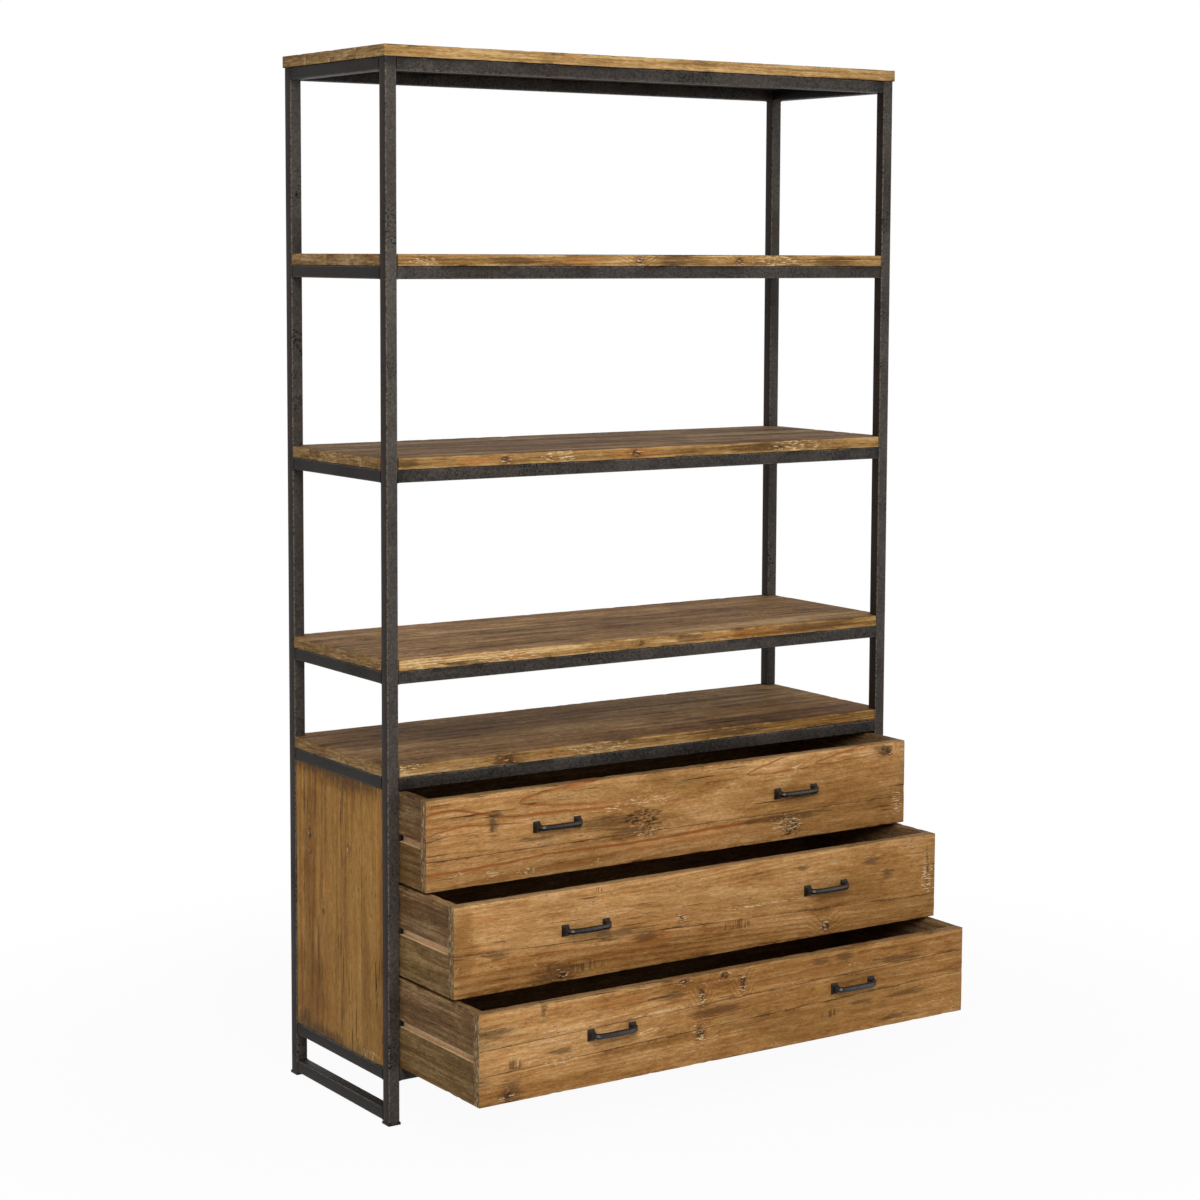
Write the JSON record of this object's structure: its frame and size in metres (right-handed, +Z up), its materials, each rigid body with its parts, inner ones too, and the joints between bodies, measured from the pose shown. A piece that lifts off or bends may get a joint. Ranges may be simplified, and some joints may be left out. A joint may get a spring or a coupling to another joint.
{
  "type": "bookcase with bottom drawers",
  "caption": "Tall open bookcase: a welded square-tube steel frame, thick wooden shelves, and a wooden case of wide drawers with bow handles at the bottom.",
  "frame": {"origin": "floor level, in the middle of the whole width and of the whole depth with the drawers open as in the picture", "axes": "+X to the right as seen from the front, -Y towards the person in front, +Z up"},
  "size_m": [1.306, 0.777, 2.194],
  "materials": {
    "frame_steel": "dark patinated square tube, satin, mottled",
    "shelf_wood": "old grey-brown pine with honey-coloured edges, planed and waxed",
    "panel_wood": "honey-coloured old pine, waxed, with dark knots",
    "drawer_front_wood": "honey-coloured old pine boards, waxed, with knots, cracks and worn edges",
    "drawer_box_wood": "dark grey-brown old pine, rough, unwaxed",
    "runner_steel": "black, worn where the drawer slides",
    "handle_iron": "dark brown-black cast iron, waxed, glossy on the bends"
  },
  "bodies": {
    "frame": {"front_left_post": "frame_steel", "front_right_post": "frame_steel", "back_left_post": "frame_steel", "back_right_post": "frame_steel", "top_front_rail": "frame_steel", "top_back_rail": "frame_steel", "top_left_rail": "frame_steel", "top_right_rail": "frame_steel", "shelf_2_front_rail": "frame_steel", "shelf_2_back_rail": "frame_steel", "shelf_2_left_rail": "frame_steel", "shelf_2_right_rail": "frame_steel", "shelf_3_front_rail": "frame_steel", "shelf_3_back_rail": "frame_steel", "shelf_3_left_rail": "frame_steel", "shelf_3_right_rail": "frame_steel", "shelf_4_front_rail": "frame_steel", "shelf_4_back_rail": "frame_steel", "shelf_4_left_rail": "frame_steel", "shelf_4_right_rail": "frame_steel", "shelf_5_front_rail": "frame_steel", "shelf_5_back_rail": "frame_steel", "shelf_5_left_rail": "frame_steel", "shelf_5_right_rail": "frame_steel", "bottom_front_rail": "frame_steel", "bottom_back_rail": "frame_steel", "bottom_left_rail": "frame_steel", "bottom_right_rail": "frame_steel", "left_stretcher": "frame_steel", "right_stretcher": "frame_steel", "top_board": "shelf_wood", "shelf_2_board": "shelf_wood", "shelf_3_board": "shelf_wood", "shelf_4_board": "shelf_wood", "shelf_5_board": "shelf_wood", "left_side_panel": "panel_wood", "right_side_panel": "panel_wood", "back_panel": "panel_wood", "left_runner_1": "runner_steel", "right_runner_1": "runner_steel", "left_runner_2": "runner_steel", "right_runner_2": "runner_steel", "left_runner_3": "runner_steel", "right_runner_3": "runner_steel"},
    "drawer_1": {"drawer_1_front": "drawer_front_wood", "drawer_1_box": "drawer_box_wood", "drawer_1_bottom": "drawer_box_wood", "drawer_1_left_handle": "handle_iron", "drawer_1_right_handle": "handle_iron"},
    "drawer_2": {"drawer_2_front": "drawer_front_wood", "drawer_2_box": "drawer_box_wood", "drawer_2_bottom": "drawer_box_wood", "drawer_2_left_handle": "handle_iron", "drawer_2_right_handle": "handle_iron"},
    "drawer_3": {"drawer_3_front": "drawer_front_wood", "drawer_3_box": "drawer_box_wood", "drawer_3_bottom": "drawer_box_wood", "drawer_3_left_handle": "handle_iron", "drawer_3_right_handle": "handle_iron"}
  },
  "joints": [
    {"name": "drawer_1_slide", "type": "slide", "parent": "frame", "child": "drawer_1", "axis": [0, -1, 0], "range_m": [-0.084, 0.216]},
    {"name": "drawer_2_slide", "type": "slide", "parent": "frame", "child": "drawer_2", "axis": [0, -1, 0], "range_m": [-0.193, 0.107]},
    {"name": "drawer_3_slide", "type": "slide", "parent": "frame", "child": "drawer_3", "axis": [0, -1, 0], "range_m": [-0.289, 0.011]}
  ]
}
